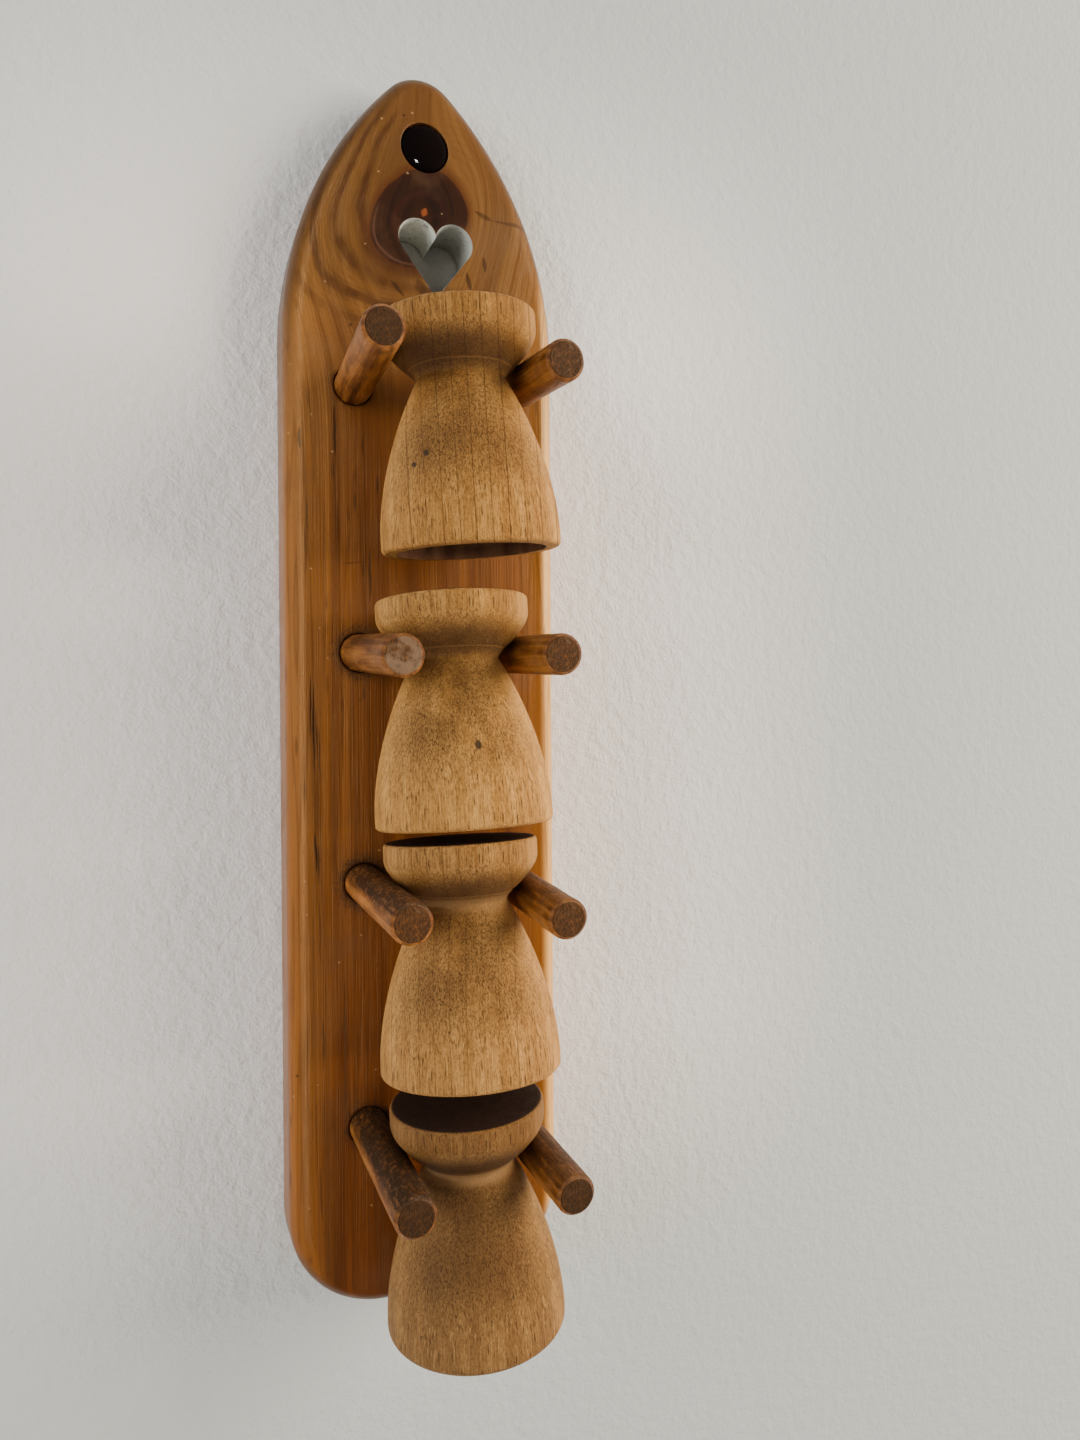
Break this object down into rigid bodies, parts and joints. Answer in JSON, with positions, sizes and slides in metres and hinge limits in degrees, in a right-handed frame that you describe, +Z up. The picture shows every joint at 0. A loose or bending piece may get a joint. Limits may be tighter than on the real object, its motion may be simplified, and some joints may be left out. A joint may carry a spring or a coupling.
{
  "type": "wall egg cup rack",
  "caption": "Wall-hung pine egg cup rack with a pointed arch top, a heart cut-out, dowel pegs in pairs and turned beech egg cups hung upside down.",
  "frame": {"origin": "middle of the backboard's flat back face, where it lies on the wall, half way up and half way across", "axes": "+Z up, +X to the right as seen from the room, -Y out of the wall into the room"},
  "size_m": [0.0914, 0.1036, 0.4024],
  "materials": {
    "varnished_pine": "glossy varnish",
    "stained_dowel": "satin",
    "beech": "matte",
    "black_enamel": "glossy"
  },
  "bodies": {
    "rack": {"backboard": "varnished_pine", "hanging_screw": "black_enamel", "peg_1_left": "stained_dowel", "peg_1_right": "stained_dowel", "peg_2_left": "stained_dowel", "peg_2_right": "stained_dowel", "peg_3_left": "stained_dowel", "peg_3_right": "stained_dowel", "peg_4_left": "stained_dowel", "peg_4_right": "stained_dowel"},
    "cup_1": {"egg_cup_1": "beech"},
    "cup_2": {"egg_cup_2": "beech"},
    "cup_3": {"egg_cup_3": "beech"},
    "cup_4": {"egg_cup_4": "beech"}
  },
  "joints": [
    {"name": "cup_1_slide", "type": "slide", "parent": "rack", "child": "cup_1", "axis": [0, -1, 0], "range_m": [0, 0.07]},
    {"name": "cup_2_slide", "type": "slide", "parent": "rack", "child": "cup_2", "axis": [0, -1, 0], "range_m": [0, 0.07]},
    {"name": "cup_3_slide", "type": "slide", "parent": "rack", "child": "cup_3", "axis": [0, -1, 0], "range_m": [0, 0.07]},
    {"name": "cup_4_slide", "type": "slide", "parent": "rack", "child": "cup_4", "axis": [0, -1, 0], "range_m": [0, 0.07]}
  ]
}
